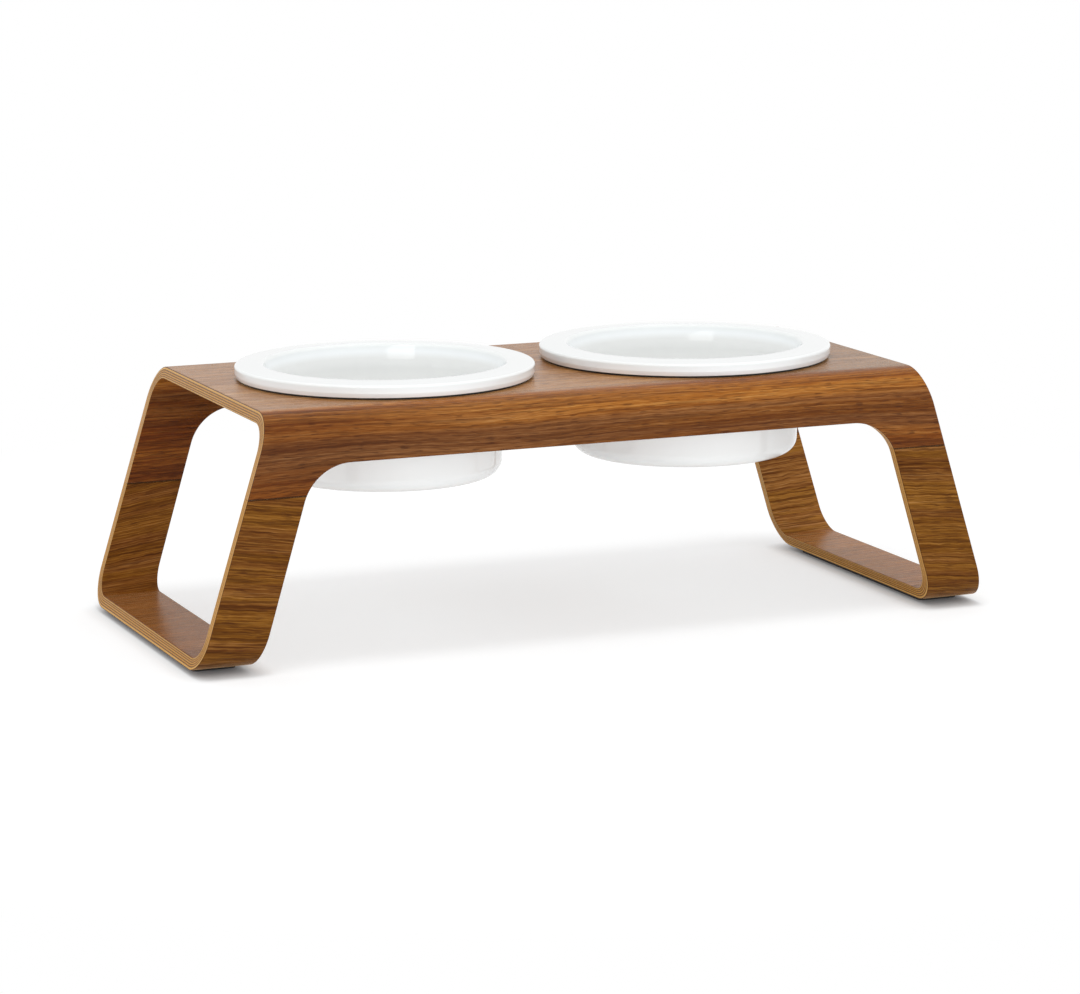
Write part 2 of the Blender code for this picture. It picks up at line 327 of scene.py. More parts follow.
def finish_wood(item, from_top, seams):
    """Round the long arrises, and the seam edges a little less."""
    mesh = item.data
    shape = bmesh.new()
    shape.from_mesh(mesh)
    bmesh.ops.remove_doubles(shape, verts=shape.verts, dist=MERGE_DISTANCE)
    bmesh.ops.dissolve_degenerate(shape, edges=shape.edges, dist=MERGE_DISTANCE)
    weights = shape.edges.layers.float.new("bevel_weight_edge")
    for edge in shape.edges:
        if len(edge.link_faces) != 2 or edge.calc_face_angle(0) < SHARP_WOOD_ANGLE:
            continue
        ends = [vert.co for vert in edge.verts]
        depths = [depth_in_sheet(p.y, p.z, from_top) for p in ends]
        if all(CORE_FROM < depth / PLY_THICKNESS < CORE_TO for depth in depths):
            continue
        edge[weights] = SEAM_ARRIS / ARRIS if on_seam(ends, seams) else 1.0
    shape.to_mesh(mesh)
    shape.free()
    bevel = item.modifiers.new("arris", "BEVEL")
    bevel.limit_method = "WEIGHT"
    bevel.width = ARRIS
    bevel.segments = ARRIS_STEPS
    bevel.use_clamp_overlap = True
    normals = item.modifiers.new("face_normals", "WEIGHTED_NORMAL")
    normals.keep_sharp = True
    mesh.shade_smooth()
    apply_modifiers(item)


def make_stand():
    """The shell and the two bows: bent sheets cut to the outline, slotted and bored."""
    outline = front_outline_cutter()
    reach = BASE_LENGTH / 2 + CUTTER_OVERRUN
    front = WOOD_BASE + FRONT_SEAM
    back = WOOD_BASE + BACK_SEAM
    half_gap = SEAM_GAP / 2
    shell = bent_sheet("shell", [
        (HALF_DEPTH, back + half_gap, *SHARP),
        (HALF_DEPTH, WOOD_TOP, *BEND_ROUND),
        (-HALF_DEPTH, WOOD_TOP, *BEND_ROUND),
        (-HALF_DEPTH, front + half_gap, *SHARP),
    ], -reach, reach)
    bows = {}
    for side, name in ((-1, "left_bow"), (1, "right_bow")):
        near = inner_x(APRON_EDGE) - CUT_OUT_RADIUS
        x_from, x_to = (near, reach) if side > 0 else (-reach, -near)
        bows[side] = bent_sheet(name, [
            (-HALF_DEPTH, front - half_gap, *SHARP),
            (-HALF_DEPTH, WOOD_BASE, *BEND_ROUND),
            (HALF_DEPTH, WOOD_BASE, *BEND_ROUND),
            (HALF_DEPTH, back - half_gap, *SHARP),
        ], x_from, x_to)
    cutters = [outline]
    for piece in (shell, *bows.values()):
        boolean(piece, outline, "INTERSECT")
    wall = HALF_DEPTH - PLY_THICKNESS / 2
    for side in (-1, 1):
        for y, height in ((-wall, FRONT_SEAM), (wall, BACK_SEAM)):
            slot = slot_cutter(side, y, height)
            cutters.append(slot)
            boolean(shell, slot)
            boolean(bows[side], slot)
        hole = hole_cutter(side * BOWL_X)
        cutters.append(hole)
        boolean(shell, hole)
    for piece in (shell, *bows.values()):
        apply_modifiers(piece)
    for cutter in cutters:
        bpy.data.objects.remove(cutter, do_unlink=True)
    finish_wood(shell, True, ((front + half_gap, False), (back + half_gap, True)))
    for bow in bows.values():
        finish_wood(bow, False, ((front - half_gap, False), (back - half_gap, True)))
    return shell, bows[-1], bows[1]


# Bowls, rings and strips

def bowl_profile():
    """Half of the bowl's section, from the hollow's floor over the rim to the underside."""
    rim_top = RIM_EDGE_HEIGHT + RIM_CROWN
    base_radius = BODY_RADIUS - BODY_TAPER
    ring_radius = base_radius - BODY_BASE_RADIUS - FOOT_RING_WIDTH
    return rounded_path([
        (0, BOWL_FLOOR - BODY_DROP, *SHARP),
        (base_radius - BOWL_WALL, BOWL_FLOOR - BODY_DROP, *HOLLOW_FLOOR_ROUND),
        (BODY_RADIUS - BOWL_WALL, rim_top - LIP_DEPTH, *HOLLOW_SHOULDER_ROUND),
        (RIM_RADIUS - RIM_WIDTH, rim_top, *LIP_ROUND),
        (RIM_RADIUS, RIM_EDGE_HEIGHT, *RIM_TOP_ROUND),
        (RIM_RADIUS, RIM_EDGE_HEIGHT - RIM_BAND, *RIM_LOW_ROUND),
        (RIM_RADIUS - RIM_FLARE, 0, *RIM_UNDERSIDE_ROUND),
        (BODY_RADIUS, 0, *NECK_ROUND),
        (base_radius, -BODY_DROP, *BODY_BASE_ROUND),
        (ring_radius, -BODY_DROP, *FOOT_RING_ROUND),
        (ring_radius - FOOT_RING_RECESS, FOOT_RING_RECESS - BODY_DROP, *FOOT_RING_ROUND),
        (0, FOOT_RING_RECESS - BODY_DROP, *SHARP),
    ])


def gasket_profile():
    """Section of a ring: a flange on the wood and a skirt that goes down into the hole."""
    return rounded_path([
        (GASKET_BORE_RADIUS, GASKET_THICKNESS, *GASKET_SMALL_ROUND),
        (GASKET_OUTER_RADIUS, GASKET_THICKNESS, *GASKET_RIM_ROUND),
        (GASKET_OUTER_RADIUS, 0, *GASKET_SMALL_ROUND),
        (SKIRT_RADIUS, 0, *SHARP),
        (SKIRT_RADIUS, -SKIRT_DEPTH, *SKIRT_ROUND),
        (GASKET_BORE_RADIUS, -SKIRT_DEPTH, *SKIRT_ROUND),
    ], closed=True)


def turned(name, profile, closed, centre, steps):
    """A (radius, height) section turned about the vertical axis through the centre."""
    shape = bmesh.new()
    points = [shape.verts.new((point.x, 0.0, point.y)) for point in profile]
    for first, second in zip(points, points[1:]):
        shape.edges.new((first, second))
    if closed:
        shape.edges.new((points[-1], points[0]))
    item = new_object(name, mesh_from(shape, name))
    screw = item.modifiers.new("turning", "SCREW")
    screw.axis = "Z"
    screw.steps = steps
    screw.render_steps = steps
    screw.use_merge_vertices = True
    screw.merge_threshold = MERGE_DISTANCE
    screw.use_smooth_shade = True
    apply_modifiers(item)
    item.data.shade_smooth()
    item.data.set_sharp_from_angle(angle=SHARP_TURNED_ANGLE)
    item.location = centre
    return item


def make_foot_strip(name, side):
    near = inner_x(0) + FOOT_SIDE_INSET
    far = outer_x(0) - FOOT_SIDE_INSET
    half_length = FLAT_HALF_DEPTH - FOOT_END_INSET
    half_width = (far - near) / 2
    strip = outline_solid(name, [
        (-half_width, -half_length, *FOOT_ROUND),
        (half_width, -half_length, *FOOT_ROUND),
        (half_width, half_length, *FOOT_ROUND),
        (-half_width, half_length, *FOOT_ROUND),
    ], FOOT_THICKNESS)
    strip.location = (side * (near + far) / 2, 0.0, FOOT_THICKNESS / 2)
    bevel = strip.modifiers.new("edge", "BEVEL")
    bevel.width = FOOT_ARRIS
    bevel.segments = FOOT_ARRIS_STEPS
    bevel.limit_method = "ANGLE"
    bevel.angle_limit = SHARP_FOOT_ANGLE
    strip.data.shade_smooth()
    normals = strip.modifiers.new("face_normals", "WEIGHTED_NORMAL")
    normals.keep_sharp = True
    return apply_modifiers(strip)


# Materials

# Colours of 0 to 255 are sRGB, and those of 0 to 1 are linear
WHITE = (1.0, 1.0, 1.0, 1.0)

# Five veneer tones from dark to light, one set for golden streaks and one for purple-brown
# ones, and their places on a scale from 0 to 1
UPPER_TONES = (
    ((90, 44, 10), (110, 62, 20), (128, 79, 34), (146, 98, 52), (166, 122, 76)),
    ((84, 42, 16), (104, 61, 28), (122, 78, 42), (138, 94, 56), (156, 114, 76)),
)
LOWER_TONES = (
    ((79, 41, 11), (103, 62, 18), (122, 78, 26), (139, 93, 37), (157, 110, 56)),
    ((79, 41, 14), (100, 58, 21), (118, 74, 30), (134, 89, 41), (149, 103, 58)),
)
TONE_PLACES = (0.0, 0.28, 0.52, 0.76, 1.0)

# What differs between the sheets. The shares weigh the broad, middle, thin and fibre streaks
# in the tone. The painted inner shading and painted level light multiply the colour of the
# inner face and of level faces: painted light and shade for how the light falls on them.
# Ripple and slant bend the grain lines, and fineness packs them closer.
SHELL_VENEER = {
    "seed": 0.0, "from_top": True,
    "face_tones": UPPER_TONES, "shares": (0.24, 0.24, 0.26, 0.26),
    # Painted light and shade: level faces much lighter, inner face warmer and less blue
    "painted_inner_shading": (1.08, 1.0, 0.66), "painted_level_light": (1.6, 1.75, 2.0),
    "line_strength": 0.4, "ripple_height": 0.0010, "slant": 0.0,
    "gloss": 0.12, "fineness": 1.0,
}
BOW_VENEER = {
    "from_top": False,
    "face_tones": LOWER_TONES, "shares": (0.17, 0.15, 0.34, 0.34),
    "line_strength": 0.6, "gloss": 0.05, "fineness": 1.4,
}
LEFT_BOW_VENEER = {
    **BOW_VENEER, "seed": 11.3,
    # Painted light and shade: level faces less green and blue, inner face a little darker
    "painted_inner_shading": (1.0, 0.95, 0.95), "painted_level_light": (1.0, 0.74, 0.45),
    "ripple_height": 0.0014, "slant": 0.13,
}
RIGHT_BOW_VENEER = {
    **BOW_VENEER, "seed": 23.9,
    # Painted light and shade: inner face much lighter, level faces less green and blue
    "painted_inner_shading": (1.5, 1.6, 1.9), "painted_level_light": (1.05, 0.82, 0.7),
    "ripple_height": 0.0020, "slant": 0.08,
}

# Noise: scales along x, along the sheet and for the seed or depth, and heights of waves
NOISE_MIDDLE = 0.5
INNER_FACE_SEED = 3.7
WAVE_SCALE = (4.0, 8.0, 1.0)
WAVE_HEIGHT = 0.016
RIPPLE_SCALE = (90.0, 120.0, 1.0)
WOBBLE_SCALE = (30.0, 30.0, 900.0)
WOBBLE_HEIGHT = 0.00012
SPECK_SCALE = (160.0, 160.0, 2600.0)

# Streaks: scale across the grain, scale along it, seed, detail and roughness of the noise
BROAD_STREAKS = (60.0, 1.4, 1.0, 1.0, 0.5)
MIDDLE_STREAKS = (190.0, 3.2, 2.0, 2.0, 0.5)
THIN_STREAKS = (640.0, 8.0, 3.0, 2.0, 0.5)
FIBRE_STREAKS = (1500.0, 70.0, 4.0, 2.0, 0.6)
WARM_STREAKS = (120.0, 2.2, 5.0, 1.0, 0.5)
DARK_LINES = (520.0, 14.0, 6.0, 2.0, 0.5)
PORES = (1500.0, 110.0, 7.0, 0.0, 0.5)

# Noise values, or places in metres, from where something starts to fade to where it is done
TONE_RANGE = (0.37, 0.63)
WARM_RANGE = (0.42, 0.58)
LINE_RANGE = (0.53, 0.61)
PORE_RANGE = (0.60, 0.70)
SPECK_RANGE = (0.42, 0.75)
FIBRE_RANGE = (0.3, 0.7)
LEVEL_FACE_ENDS = (0.086, 0.104)
BEND_STARTS = (0.086, 0.096)
BEND_ENDS = (0.106, 0.124)
SEAMWARD = (0.124, 0.150)
LEFTWARD = (-0.06, -0.20)
RIGHTWARD = (0.04, 0.20)
LEG_STARTS = (0.112, 0.130)
GLUE_ENDS = (0.0003, 0.0007)

# Tints of the top sheet: a painted highlight on its bends, painted shade towards its seams,
# darker on its left legs, and painted shade on its top towards its right end
BEND_PAINTED_HIGHLIGHT = (1.32, 1.16, 0.65)
SEAMWARD_PAINTED_SHADE = (0.88, 0.69, 0.36)
LEFTWARD_TINT = (0.80, 0.74, 0.68)
RIGHTWARD_PAINTED_SHADE = (0.55, 0.48, 0.42)

# Dark lines, pores, glue and specks, each with its colour and strength, and the finish
LINE_TONE = (66, 32, 8)
PORE_TONE = (64, 32, 15)
PORE_STRENGTH = 0.55
GLUE_TONE = (48, 26, 12)
GLUE_STRENGTH = 0.85
SPECK_TONE = (120, 74, 20)
SPECK_STRENGTH = 0.12
LEG_PLY_STRENGTH = 0.9
PLY_TINT = (0.90, 0.87, 0.80)
WOOD_ROUGHNESS = (0.22, 0.3)
SHEEN_WEIGHT = 0.35
SHEEN_ROUGHNESS = 0.25
SHEEN_TINT = (1.0, 0.62, 0.28, 1.0)
FIBRE_RELIEF = 0.6
GRAIN_RELIEF = 0.00004

# Colours across the sheet's thickness, from the outer face at 0 to the inner face at 1
PLY_BANDS = (
    (0.0, (70, 36, 6)), (0.055, (70, 36, 6)), (0.09, (212, 164, 90)), (0.19, (216, 168, 94)),
    (0.25, (98, 58, 12)), (0.29, (98, 58, 12)), (0.35, (200, 144, 64)), (0.40, (200, 144, 64)),
    (0.45, (92, 54, 12)), (0.48, (92, 54, 12)), (0.54, (204, 150, 68)), (0.59, (204, 150, 68)),
    (0.64, (94, 56, 12)), (0.67, (94, 56, 12)), (0.72, (200, 144, 64)), (0.76, (198, 142, 62)),
    (0.81, (98, 58, 14)), (0.84, (98, 58, 14)), (0.89, (210, 162, 88)), (0.94, (204, 156, 82)),
    (0.965, (70, 36, 6)), (1.0, (70, 36, 6)),
)
LEG_BANDS = (
    (0.0, (70, 36, 6)), (0.06, (70, 36, 6)), (0.12, (190, 136, 60)), (0.34, (206, 156, 80)),
    (0.42, (150, 102, 40)), (0.50, (186, 134, 60)), (0.62, (212, 162, 88)), (0.76, (134, 90, 32)),
    (0.88, (214, 168, 96)), (0.95, (208, 160, 88)), (0.97, (70, 36, 6)), (1.0, (70, 36, 6)),
)
EDGE_FROM = 0.02
EDGE_TO = 0.975

# Raw wood of the tongues
RAW_SCALE = (1500.0, 1500.0, 60.0)
RAW_BANDS = ((0.3, (196, 150, 92)), (0.7, (222, 182, 124)))
RAW_ROUGHNESS = 0.6
RAW_RELIEF = 0.0001

# Glaze tones by height, from just under the rim at 0 to just above the rim's edge at 1. They
# are painted light on the body and low on the rim's wall, where the wood shades them, and
# painted shade near the top of the wall, where the lamps light it.
GLAZE_HEIGHTS = (-0.002, 0.008)
GLAZE_LIGHT_AND_SHADE = (
    (0.0, (246, 249, 250)),
    (0.2, (249, 253, 254)),
    (0.45, (245, 249, 251)),
    (0.8, (234, 238, 239)),
    (0.97, (243, 245, 245)),
)
GLAZE_CLOUD_SCALE = 14.0
GLAZE_CLOUD_TINT = (0.975, 0.975, 0.97, 1.0)

# The hollow's tones, painted shade at its top and painted light low down, the heights
# between which they blend, and where they give way to the rim's tones, by height at the lip
# and by depth in the wall
HOLLOW_TOP_PAINTED_SHADE = (229, 231, 230)
HOLLOW_LOW_PAINTED_LIGHT = (252, 253, 252)
HOLLOW_HEIGHTS = (-0.016, 0.002)
LIP_HEIGHTS = (0.004, 0.0085)
WALL_DEPTHS = (0.3 * BOWL_WALL, 0.7 * BOWL_WALL)

# Finish of the glaze
GLAZE_ROUGHNESS = 0.03
GLAZE_GLOSS = 0.5
GLAZE_WAVE_SCALE = 60.0
GLAZE_RELIEF = 0.000015

# Rubber, with its tones as shares of a level
RUBBER_DARK = (1.0, 1.0, 1.04)
RUBBER_LIGHT = (1.6, 1.6, 1.65)
RUBBER_CLOUD_SCALE = 40.0
RUBBER_CLOUD_RANGE = (0.3, 0.7)
RUBBER_ROUGHNESS_CHANGE = (-0.05, 0.08)
RUBBER_RELIEF = 0.0001

# Sockets of the mix node for colours, whose names are not unique
MIX_FACTOR, MIX_FIRST, MIX_SECOND, MIX_RESULT = 0, 6, 7, 2

# Least height above a bend's centre, which keeps the angle round the bend defined below it
TINY = 1e-7


def linear(*srgb):
    """sRGB 0-255 to linear."""
    out = []
    for value in srgb:
        c = value / 255
        out.append(c / 12.92 if c <= 0.04045 else ((c + 0.055) / 1.055) ** 2.4)
    return (*out, 1.0)


class Nodes:
    """Short calls that build the node tree of a material or world."""

    def __init__(self, owner):
        owner.use_nodes = True
        self.owner = owner
        self.tree = owner.node_tree

    def add(self, kind, **settings):
        node = self.tree.nodes.new(kind)
        for key, value in settings.items():
            setattr(node, key, value)
        return node

    def plug(self, source, target):
        """Set a socket to a number or colour, or link it to another socket."""
        if isinstance(source, (int, float, tuple)):
            target.default_value = source
        else:
            self.tree.links.new(source, target)

    def give(self, node, sockets):
        for name, source in sockets.items():
            self.plug(source, node.inputs[name])

    def math(self, operation, a, b=0.0):
        node = self.add("ShaderNodeMath", operation=operation)
        self.plug(a, node.inputs[0])
        self.plug(b, node.inputs[1])
        return node.outputs[0]

    def scaled(self, places, scales):
        """A vector of three values, each multiplied by its own scale."""
        node = self.add("ShaderNodeCombineXYZ")
        for place, scale, socket in zip(places, scales, node.inputs):
            self.plug(self.math("MULTIPLY", place, scale), socket)
        return node.outputs[0]

    def noise(self, vector, scale=1.0, detail=2.0, rough=0.5):
        node = self.add("ShaderNodeTexNoise")
        self.give(node, {
            "Vector": vector, "Scale": scale, "Detail": detail, "Roughness": rough})
        return node.outputs["Fac"]

    def remap(self, value, start, end, low=0.0, high=1.0, smooth=False):
        """Values from start to end turned into low to high, and held there outside."""
        node = self.add(
            "ShaderNodeMapRange", interpolation_type="SMOOTHSTEP" if smooth else "LINEAR")
        self.give(node, {
            "Value": value, "From Min": start, "From Max": end, "To Min": low, "To Max": high})
        return node.outputs["Result"]

    def mix(self, factor, first, second, blend="MIX"):
        node = self.add("ShaderNodeMix", data_type="RGBA", blend_type=blend)
        self.plug(factor, node.inputs[MIX_FACTOR])
        self.plug(first, node.inputs[MIX_FIRST])
        self.plug(second, node.inputs[MIX_SECOND])
        return node.outputs[MIX_RESULT]

    def tint(self, factor, colour, strength):
        """Multiply a colour by three numbers, by the given factor."""
        return self.mix(
            factor, colour, self.mix(1.0, colour, (*strength, 1.0), blend="MULTIPLY"))

    def ramp(self, value, bands):
        """Colours of (place, sRGB colour) bands, blended between their places."""
        node = self.add("ShaderNodeValToRGB")
        self.plug(value, node.inputs["Fac"])
        elements = node.color_ramp.elements
        while len(elements) > 1:
            elements.remove(elements[-1])
        for index, (place, colour) in enumerate(bands):
            element = elements[0] if index == 0 else elements.new(place)
            element.position = place
            element.color = linear(*colour)
        return node.outputs["Color"]

    def bump(self, height, distance):
        node = self.add("ShaderNodeBump")
        self.give(node, {"Height": height, "Distance": distance, "Strength": 1.0})
        return node.outputs["Normal"]


def new_material(name):
    """The nodes of a new material, and its shader."""
    n = Nodes(bpy.data.materials.new(name))
    return n, n.tree.nodes["Principled BSDF"]


def object_place(n):
    return n.add("ShaderNodeTexCoord").outputs["Object"]


def split_place(n, place):
    split = n.add("ShaderNodeSeparateXYZ")
    n.plug(place, split.inputs[0])
    return split.outputs


def hypotenuse(n, a, b):
    return n.math("SQRT", n.math("ADD", n.math("MULTIPLY", a, a), n.math("MULTIPLY", b, b)))


def swing(n, noise, height):
    """Noise about its middle, turned into a distance."""
    return n.math("MULTIPLY", n.math("SUBTRACT", noise, NOISE_MIDDLE), height)


def sheet_place(n, from_top):
    """Nodes for the place in a bent sheet: x, y, z, the distance along the sheet from its
    middle, positive towards the front, and the depth below its outer face."""
    x, y, z = split_place(n, object_place(n))
    if from_top:
        drop = n.math("SUBTRACT", WOOD_TOP, z)
    else:
        drop = n.math("SUBTRACT", z, WOOD_BASE)
    past_bend = n.math("SUBTRACT", drop, BEND_RADIUS)
    reach = n.math("ABSOLUTE", y)
    beyond = n.math("MAXIMUM", n.math("SUBTRACT", reach, FLAT_HALF_DEPTH), 0.0)
    above = n.math("MAXIMUM", n.math("MULTIPLY", past_bend, -1.0), TINY)
    arc = n.math("MULTIPLY", n.math("ARCTAN2", beyond, above), BEND_RADIUS)
    along = n.math("ADD", n.math("MINIMUM", reach, FLAT_HALF_DEPTH), arc)
    along = n.math("ADD", along, n.math("MAXIMUM", past_bend, 0.0))
    along = n.math("MULTIPLY", along, n.math("SIGN", n.math("MULTIPLY", y, -1.0)))
    depth = n.math("SUBTRACT", BEND_RADIUS, hypotenuse(n, beyond, above))
    return x, y, z, along, depth


def across_grain(n, x, along, face, ripple_height, slant):
    """Distance across the grain, whose lines bend in slow waves and small ripples."""
    wave = n.noise(n.scaled((x, along, face), WAVE_SCALE), detail=1.0)
    ripple = n.noise(n.scaled((x, along, face), RIPPLE_SCALE))
    drift = n.math("ADD", swing(n, wave, WAVE_HEIGHT), swing(n, ripple, ripple_height))
    drift = n.math("ADD", drift, n.math("MULTIPLY", x, slant))
    return n.math("ADD", along, drift)


def tint_top_sheet(n, colour, x, path, level_face):
    """The top sheet's slow changes: a golden painted highlight on its bends, painted shade
    towards its seams, darker down its left legs, and painted shade on its top along its right
    end."""
    # Painted highlight on the bends
    bend = n.math("MULTIPLY", n.remap(path, *BEND_STARTS, smooth=True),
                  n.remap(path, *BEND_ENDS, 1.0, 0.0, smooth=True))
    leftward = n.math("MULTIPLY", n.remap(x, *LEFTWARD, smooth=True),
                      n.math("SUBTRACT", 1.0, level_face))
    # Painted shade on the top towards the right end
    rightward_shade = n.math("MULTIPLY", n.remap(x, *RIGHTWARD, smooth=True), level_face)
    colour = n.tint(bend, colour, BEND_PAINTED_HIGHLIGHT)
    # Painted shade towards the seams
    colour = n.tint(n.remap(path, *SEAMWARD, smooth=True), colour, SEAMWARD_PAINTED_SHADE)
    colour = n.tint(leftward, colour, LEFTWARD_TINT)
    return n.tint(rightward_shade, colour, RIGHTWARD_PAINTED_SHADE)


def ply_edge(n, x, along, path, depth):
    """Colour of the cut plies, and where they show instead of the faces."""
    wobble = swing(n, n.noise(n.scaled((x, along, depth), WOBBLE_SCALE)), WOBBLE_HEIGHT)
    level = n.math("DIVIDE", n.math("ADD", depth, wobble), PLY_THICKNESS)
    on_leg = n.remap(path, *LEG_STARTS, 0.0, LEG_PLY_STRENGTH, smooth=True)
    plies = n.mix(on_leg, n.ramp(level, PLY_BANDS), n.ramp(level, LEG_BANDS))
    speck = n.noise(n.scaled((x, along, depth), SPECK_SCALE), detail=1.0)
    speck = n.remap(speck, *SPECK_RANGE, 0.0, SPECK_STRENGTH)
    plies = n.tint(1.0, n.mix(speck, plies, linear(*SPECK_TONE)), PLY_TINT)
    on_edge = n.math("MULTIPLY", n.math("GREATER_THAN", level, EDGE_FROM),
                     n.math("LESS_THAN", level, EDGE_TO))
    return plies, on_edge


def walnut(name, seed, from_top, face_tones, shares, painted_inner_shading, painted_level_light,
           line_strength, ripple_height, slant, gloss, fineness):
    """Walnut veneer whose grain follows a bent sheet, with plies on the sheet's edges."""
    n, shader = new_material(name)
    x, y, z, along, depth = sheet_place(n, from_top)
    path = n.math("ABSOLUTE", along)
    inner = n.math("GREATER_THAN", depth, PLY_THICKNESS / 2)
    face = n.math("ADD", n.math("MULTIPLY", inner, INNER_FACE_SEED), seed)
    across = across_grain(n, x, along, face, ripple_height, slant)

    def streaks(across_scale, along_scale, offset, detail, rough):
        places = (x, across, n.math("ADD", face, offset))
        scales = (along_scale, across_scale * fineness, 1.0)
        return n.noise(n.scaled(places, scales), detail=detail, rough=rough)

    fibre = streaks(*FIBRE_STREAKS)
    pores = streaks(*PORES)
    layers = (streaks(*BROAD_STREAKS), streaks(*MIDDLE_STREAKS), streaks(*THIN_STREAKS), fibre)
    tone = 0.0
    for layer, share in zip(layers, shares):
        tone = n.math("ADD", tone, n.math("MULTIPLY", layer, share))
    tone = n.remap(tone, *TONE_RANGE)
    golden, purple = (n.ramp(tone, tuple(zip(TONE_PLACES, tones))) for tones in face_tones)
    warm = n.remap(streaks(*WARM_STREAKS), *WARM_RANGE, smooth=True)
    colour = n.mix(warm, golden, purple)
    lines = n.remap(streaks(*DARK_LINES), *LINE_RANGE, 0.0, line_strength, smooth=True)
    colour = n.mix(lines, colour, linear(*LINE_TONE))
    open_pores = n.remap(pores, *PORE_RANGE, 0.0, PORE_STRENGTH, smooth=True)
    colour = n.mix(open_pores, colour, linear(*PORE_TONE))

    level_face = n.remap(path, *LEVEL_FACE_ENDS, 1.0, 0.0, smooth=True)
    # Painted light and shade on the inner face and on level faces
    colour = n.tint(inner, colour, painted_inner_shading)
    colour = n.tint(level_face, colour, painted_level_light)
    if from_top:
        colour = tint_top_sheet(n, colour, x, path, level_face)

    # Dark glue line where the sheets meet
    at_back = n.math("GREATER_THAN", y, 0.0)
    seam = n.math("MULTIPLY", at_back, BACK_SEAM - FRONT_SEAM)
    seam = n.math("ADD", seam, WOOD_BASE + FRONT_SEAM)
    gap = n.math("ABSOLUTE", n.math("SUBTRACT", z, seam))
    colour = n.mix(n.remap(gap, *GLUE_ENDS, GLUE_STRENGTH, 0.0), colour, linear(*GLUE_TONE))

    plies, on_edge = ply_edge(n, x, along, path, depth)
    relief = n.math("SUBTRACT", n.math("MULTIPLY", fibre, FIBRE_RELIEF),
                    n.remap(pores, *PORE_RANGE))
    n.give(shader, {
        "Base Color": n.mix(on_edge, colour, plies),
        "Roughness": n.remap(fibre, *FIBRE_RANGE, *WOOD_ROUGHNESS),
        "Specular IOR Level": gloss,
        "Sheen Weight": SHEEN_WEIGHT,
        "Sheen Roughness": SHEEN_ROUGHNESS,
        "Sheen Tint": SHEEN_TINT,
        "Normal": n.bump(relief, GRAIN_RELIEF),
    })
    return n.owner


def pale_wood(name):
    n, shader = new_material(name)
    stretch = n.add("ShaderNodeVectorMath", operation="MULTIPLY")
    n.plug(object_place(n), stretch.inputs[0])
    n.plug(RAW_SCALE, stretch.inputs[1])
    grain = n.noise(stretch.outputs[0], detail=3.0)
    n.give(shader, {
        "Base Color": n.ramp(grain, RAW_BANDS),
        "Roughness": RAW_ROUGHNESS,
        "Normal": n.bump(grain, RAW_RELIEF),
    })
    return n.owner


def glaze(name):
    """White glaze, with painted light and shade by height on the rim and in the hollow."""
    n, shader = new_material(name)
    where = object_place(n)
    x, y, z = split_place(n, where)
    cloud = n.mix(n.noise(where, scale=GLAZE_CLOUD_SCALE), WHITE, GLAZE_CLOUD_TINT)
    # Painted light and shade by height on the body and the rim
    bands = n.ramp(n.remap(z, *GLAZE_HEIGHTS), GLAZE_LIGHT_AND_SHADE)
    colour = n.mix(1.0, bands, cloud, blend="MULTIPLY")

    # Painted light: the hollow is whiter towards its floor, where shade falls, and painted shade
    # greys it at its top, below the lip
    outside = n.remap(z, -BODY_DROP, 0.0, BODY_RADIUS - BODY_TAPER, BODY_RADIUS)
    depth = n.math("SUBTRACT", outside, hypotenuse(n, x, y))
    within = n.math("MULTIPLY", n.remap(depth, *WALL_DEPTHS),
                    n.remap(z, *LIP_HEIGHTS, 1.0, 0.0, smooth=True))
    lowness = n.remap(z, *HOLLOW_HEIGHTS, 1.0, 0.0)
    hollow = n.mix(lowness, linear(*HOLLOW_TOP_PAINTED_SHADE), linear(*HOLLOW_LOW_PAINTED_LIGHT))
    waves = n.noise(where, scale=GLAZE_WAVE_SCALE, detail=1.0)
    n.give(shader, {
        "Base Color": n.mix(within, colour, hollow),
        "Roughness": GLAZE_ROUGHNESS,
        "Specular IOR Level": GLAZE_GLOSS,
        "Normal": n.bump(waves, GLAZE_RELIEF),
    })
    return n.owner


def rubber(name, level, rough, grain_scale):
    n, shader = new_material(name)
    where = object_place(n)
    cloud = n.noise(where, scale=RUBBER_CLOUD_SCALE)
    dark, light = (
        (*(level * share for share in shares), 1.0) for shares in (RUBBER_DARK, RUBBER_LIGHT))
    roughness = tuple(rough + change for change in RUBBER_ROUGHNESS_CHANGE)
    n.give(shader, {
        "Base Color": n.mix(cloud, dark, light),
        "Roughness": n.remap(cloud, *RUBBER_CLOUD_RANGE, *roughness),
        "Normal": n.bump(n.noise(where, scale=grain_scale), RUBBER_RELIEF),
    })
    return n.owner


# Setting

# Floor: it shows the object's shadow near the middle, and farther out it glows white. It
# glows only for the camera, in gloss and through glass.
FLOOR_HALF_SIZE = 6.0
FLOOR_SEEN = (0.975, 0.99, 1.0, 1.0)
FLOOR_UNSEEN = (0.86, 0.86, 0.86, 1.0)
FLOOR_ROUGHNESS = 0.9
FLOOR_GLOSS = 0.1
GLOW_DISTANCES = (0.36, 0.7)
GLOW_SHARES = (0.42, 1.0)
GLOW_STRENGTHS = (1.22, 1.0)
CONTACT_DISTANCE = 0.014
CONTACT_SAMPLES = 16

# Strength of the world's light on surfaces. Seen by the camera or in gloss, it is 1.
WORLD_LIGHT = 0.70

